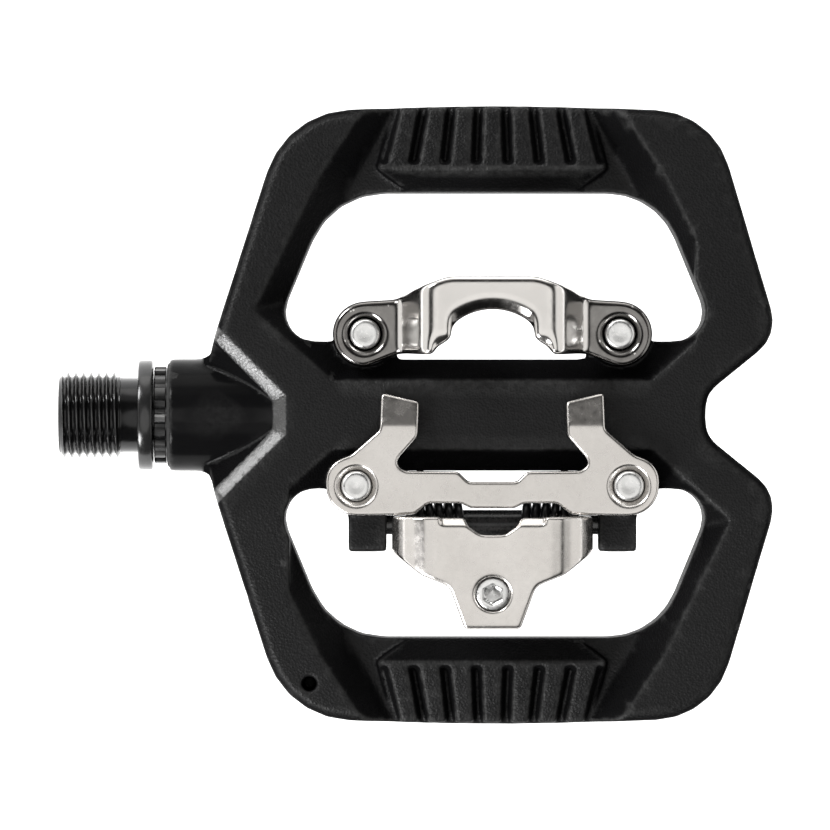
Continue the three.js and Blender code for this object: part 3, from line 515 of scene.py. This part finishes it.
def body_and_steel():
    """The moulded body and the three steel stampings: their CAD shapes with softened edges."""
    for node, voxel, edge, adaptivity in (
        ("pedal_body", 0.32, 0.30, 0.04),
        ("front_hook", 0.16, 0.6, 0.0),
        ("cleat_plate", 0.16, 0.26, 0.0),
        ("rear_jaw", 0.16, 0.32, 0.0),
    ):
        vertices, faces, normals = softened(node, voxel, edge, adaptivity)
        show(node + "_fine", node, vertices, faces, normals)


def spindle():
    """Threaded crank end with its hexagon socket, shoulder, flange, journals and nut thread."""
    low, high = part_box("spindle")
    start = low.x / MM
    flange = (high.y - low.y) / 2 / MM
    thread_end, flange_from, flange_to = start + 10.3, start + 13.2, start + 15.7
    crest, root, pitch = 7.14, 6.35, 25.4 / 20
    journal, waist, outboard, tip = 6.0, 4.9, 4.0, 3.0
    waist_from, waist_full, nut_seat = -24, -20, 14.2
    socket, socket_end = hexagon(8), start + 9
    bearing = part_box("bearing_inner_ring")[0].x / MM - SEAT_GAP
    end = high.x / MM
    rows = [(socket_end, 0.4), (socket_end, socket)]
    rows += [(start + 0.5, socket), (start, lambda a: socket(a) + 0.4), (start, crest - 1.1)]
    rows += thread_rows(start + 0.05, thread_end, crest, root, pitch, 0.9)
    rows += [(thread_end + 0.2, root - 0.1), (thread_end + 0.3, 6.2)]
    rows += [(flange_from, 6.2), (flange_from, flange - 0.5), (flange_from + 0.15, flange - 0.15)]
    rows += [(flange_from + 0.45, flange), (flange_to - 0.45, flange)]
    rows += [(flange_to - 0.15, flange - 0.15), (flange_to, flange - 0.5), (flange_to, journal)]
    rows += [(waist_from, journal), (waist_full, waist), (bearing, waist)]
    rows += [(bearing, outboard), (nut_seat, outboard), (nut_seat, tip)]
    rows += [(end - 0.6, tip), (end, tip - 0.6), (end, 0.3)]
    turned("spindle", (0, 0, SPINDLE_Z), (1, 0, 0), rows, columns=96)


def retaining_collar():
    """Toothed ring between the flange and the neck, with its smooth barrel."""
    low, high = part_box("retaining_collar")
    face, end = low.x / MM, high.x / MM
    outer = (high.y - low.y) / 2 / MM
    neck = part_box("pedal_body")[0].x / MM - SEAT_GAP
    teeth, depth, bore, barrel = 20, 0.55, 6.9, 7.8

    def toothed(angle):
        wave = math.sin(angle * teeth)
        return outer - depth * (0.5 - 0.5 * max(-1, min(1, 3 * wave)))

    rows = [(face, bore), (face, lambda a: toothed(a) - 0.2), (face + 0.2, toothed)]
    rows += [(neck - 0.1, toothed), (neck, lambda a: toothed(a) - 0.1)]
    rows += [(neck, barrel), (end, barrel), (end, bore)]
    turned("retaining_collar", (0, 0, SPINDLE_Z), (1, 0, 0), rows, columns=160, ring=True)


def plate_screws():
    """Four screws from the flat side; their ends show in the dishes of the hook and the plate."""
    for node in ("hook_screw_left", "hook_screw_right", "plate_screw_left", "plate_screw_right"):
        low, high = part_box(node)
        centre = (low + high) / 2
        head = (high.x - low.x) / 2 / MM
        bottom, top = low.z / MM, high.z / MM
        shank, head_height, socket = 2.5, 3.16, hexagon(4)
        under_head, socket_floor = bottom + head_height, bottom + 2
        rows = [(socket_floor, 0.2), (socket_floor, socket), (bottom + 0.3, socket)]
        rows += [(bottom, lambda a: socket(a) + 0.3)]
        rows += [(bottom, head - 0.9), (bottom + 0.25, head - 0.35), (bottom + 0.8, head)]
        rows += [(under_head - 0.2, head), (under_head, head - 0.2), (under_head, shank)]
        rows += [(top - 0.55, shank), (top - 0.2, shank - 0.2), (top - 0.05, shank - 0.45)]
        rows += [(top, shank - 0.8), (top - 0.02, shank - 1.2), (top - 0.12, 0.7), (top - 0.16, 0.1)]
        turned(node, (centre.x, centre.y, 0), (0, 0, 1), rows, columns=64)


def tension_screw():
    """Socket screw that stands in the hole in the jaw's tail and pushes with its flange."""
    joint = JOINTS["tension_screw_turn"]
    socket = hexagon(3)
    head, flange, crest, root = 2.7, 3.7, 2.45, 2.05
    top, floor, flange_top, flange_bottom, end = -0.2, -2.3, -2.05, -3.1, -12.5
    rows = [(end, 0.2), (end, root - 0.4), (end + 0.4, root)]
    rows += thread_rows(end + 0.5, flange_bottom - 1.2, crest, root, 0.8, 0.3)
    rows += [(flange_bottom - 1.1, root), (flange_bottom, root), (flange_bottom, flange - 0.2)]
    rows += [(flange_bottom + 0.2, flange), (flange_top - 0.2, flange), (flange_top, flange - 0.2)]
    rows += [(flange_top, head), (top - 0.35, head), (top - 0.1, head - 0.12), (top, head - 0.4)]
    rows += [(top, lambda a: socket(a) + 0.25), (top - 0.25, socket)]
    rows += [(floor, socket), (floor, 1.4), (floor - 0.8, 0.2)]
    turned("tension_screw", joint["pos_m"], joint["axis"], rows, columns=96)


def pivot_pin_and_sleeve():
    """The jaw's pin, and the sleeve that the springs are wound round."""

    def chamfered_rod(node, bore, ring):
        low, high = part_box(node)
        centre = (low + high) / 2
        radius, half, chamfer = (high.z - low.z) / 2 / MM, high.x / MM, 0.3
        rows = [(-half, bore), (-half, radius - chamfer), (-half + chamfer, radius)]
        rows += [(half - chamfer, radius), (half, radius - chamfer), (half, bore)]
        turned(node, (0, centre.y, centre.z), (1, 0, 0), rows, columns=48, ring=ring)
        return radius

    pin_radius = chamfered_rod("jaw_pivot_pin", 0.2, False)
    chamfered_rod("spring_sleeve", pin_radius + 0.12, True)


def torsion_springs():
    """Each spring: a leg on the hub, four coils round the sleeve, and a leg that follows the jaw."""
    wire, coil, pitch, turns = 0.7, 3.4, 1.62, 4
    first, last = math.radians(60), math.radians(101.6) + turns * TAU
    front_leg, rear_leg = 8.2, 11
    wound = coil * (last - first)
    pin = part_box("jaw_pivot_pin")
    centre = (pin[0] + pin[1]) / 2
    around, steps = 16, 420
    for node, side in (("torsion_spring_left", -1), ("torsion_spring_right", 1)):
        inner = min(abs(corner.x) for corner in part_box(node)) / MM + wire

        def place(s):
            along = min(max(s, 0), wound)
            angle = first + along / coil
            over = s - along
            x = inner + pitch * (last - angle) / TAU
            y = coil * math.cos(angle) - over * math.sin(angle)
            z = coil * math.sin(angle) + over * math.cos(angle)
            return Vector((side * x * MM, centre.y + y * MM, centre.z + z * MM))

        vertices = []
        for step in range(steps + 1):
            s = -front_leg + (front_leg + wound + rear_leg) * step / steps
            ahead = (place(s + 0.05) - place(s - 0.05)).normalized()
            across = ahead.cross(Vector((1, 0, 0))).normalized()
            up = across.cross(ahead)
            for k in range(around):
                turn = TAU * k / around
                vertices.append(place(s) + (across * math.cos(turn) + up * math.sin(turn)) * wire * MM)
        faces = loop_faces(steps + 1, around, False)
        spring = close_up(node + "_fine", node, vertices, faces, crease=60)
        spring.parent = None
        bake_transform(spring)


def studio_world():
    """A dim room: a wide soft light overhead, and panels at both sides and in front.

    The front panel is brightest at the horizon. Where the camera looks past the floor, it sees an
    even pale backdrop.
    """
    world = bpy.data.worlds.new("studio_world")
    world.use_nodes = True
    made = Nodes(world.node_tree)
    direction = made.node("ShaderNodeTexCoord").outputs["Generated"]

    def spot(axis, from_degrees, to_degrees, to_low=0, to_high=1):
        """A round patch of sky about an axis, blended between two angles away from it."""
        toward = made.node("ShaderNodeVectorMath", operation="DOT_PRODUCT")
        made.feed(toward.inputs[0], direction)
        toward.inputs[1].default_value = Vector(axis).normalized()
        low, high = (math.cos(math.radians(angle)) for angle in (from_degrees, to_degrees))
        return made.spread(toward.outputs["Value"], low, high, to_low, to_high, smooth=True)

    softbox = spot((0, -0.2, 1), 31, 21)
    camera_gap = spot((0, 0, 1), 8, 2, 1.1, 0.95)
    overhead = made.combine(softbox, camera_gap, "MULTIPLY")
    x, y, _ = made.parts(direction)
    aside, along = (made.combine(axis, 0, "ABSOLUTE") for axis in (x, y))
    outboard = made.combine(made.spread(x, 0.6, 0.74, smooth=True), made.spread(x, -0.7, -0.82, smooth=True))
    sides = made.combine(outboard, made.spread(along, 0.5, 0.75, 1, 0, smooth=True), "MULTIPLY")
    near = made.spread(y, 0.62, 0.75, 0, 0.5, smooth=True)
    forward = made.combine(near, made.spread(y, 0.85, 0.95, 0, 2, smooth=True))
    front = made.combine(forward, made.spread(aside, 0.4, 0.7, 1, 0, smooth=True), "MULTIPLY")
    lit = made.combine(made.combine(made.combine(overhead, sides), front), 0.03)
    camera_ray = made.node("ShaderNodeLightPath").outputs["Is Camera Ray"]
    shown = made.combine(lit, made.combine(camera_ray, 0.8, "MULTIPLY"), "MAXIMUM")
    background = made.tree.nodes["Background"]
    made.feed(background.inputs["Strength"], shown)
    background.inputs["Color"].default_value = (1, 0.99, 0.97, 1)
    return world


def studio_floor(low, high):
    """White paper some way under the part, which a camera under it sees through."""
    drop = (high.y - low.y) * 0.6
    middle = (low + high) / 2
    bpy.ops.mesh.primitive_plane_add(size=6, location=(middle.x, middle.y, low.z - drop))
    floor = bpy.context.object
    floor.name = "studio_floor"
    paper = Shader("studio_paper")
    tone = paper.mix(paper.noise(30, 2), (0.86, 0.86, 0.86), (0.88, 0.88, 0.88))
    paper.set(Base_Color=tone, Roughness=0.9, Emission_Color=(1, 1, 1, 1), Emission_Strength=0.8)
    from_below = paper.node("ShaderNodeNewGeometry").outputs["Backfacing"]
    paper.set(Alpha=paper.combine(1, from_below, "SUBTRACT"))
    floor.data.materials.append(paper.material)


def lamp(name, centre, offset, watts):
    """A square lamp at an offset from the centre, turned toward it."""
    data = bpy.data.lights.new(name, "AREA")
    data.size = 0.35
    data.energy = watts
    made = bpy.data.objects.new(name, data)
    made.location = centre + Vector(offset)
    made.rotation_euler = (-Vector(offset)).to_track_quat("-Z", "Y").to_euler()
    bpy.context.scene.collection.objects.link(made)


def camera_above(centre, width, share=0.86):
    """A long lens straight above, so far off that the width fills this share of the picture."""
    data = bpy.data.cameras.new("camera")
    data.lens = 400
    camera = bpy.data.objects.new("camera", data)
    distance = width / share * data.lens / data.sensor_width
    camera.location = (centre.x, centre.y, centre.z + distance)
    bpy.context.scene.collection.objects.link(camera)
    bpy.context.scene.camera = camera


def studio():
    low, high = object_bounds()
    centre = (low + high) / 2
    studio_floor(low, high)
    lamp("crank_side_front", centre, (-0.62, 0.62, 0.47), 7)
    lamp("crank_side_rear", centre, (-0.54, -0.7, 0.47), 10)
    bpy.context.scene.world = studio_world()
    bpy.context.scene.view_settings.view_transform = "Standard"
    camera_above(centre, high.x - low.x)


body_and_steel()
spindle()
retaining_collar()
plate_screws()
tension_screw()
pivot_pin_and_sleeve()
torsion_springs()
for name, piece in sorted(frame["nodes"].items()):
    if not piece.hide_render:    # no piece above stands for it, so the CAD's own mesh is shown
        dress(piece, name)
studio()
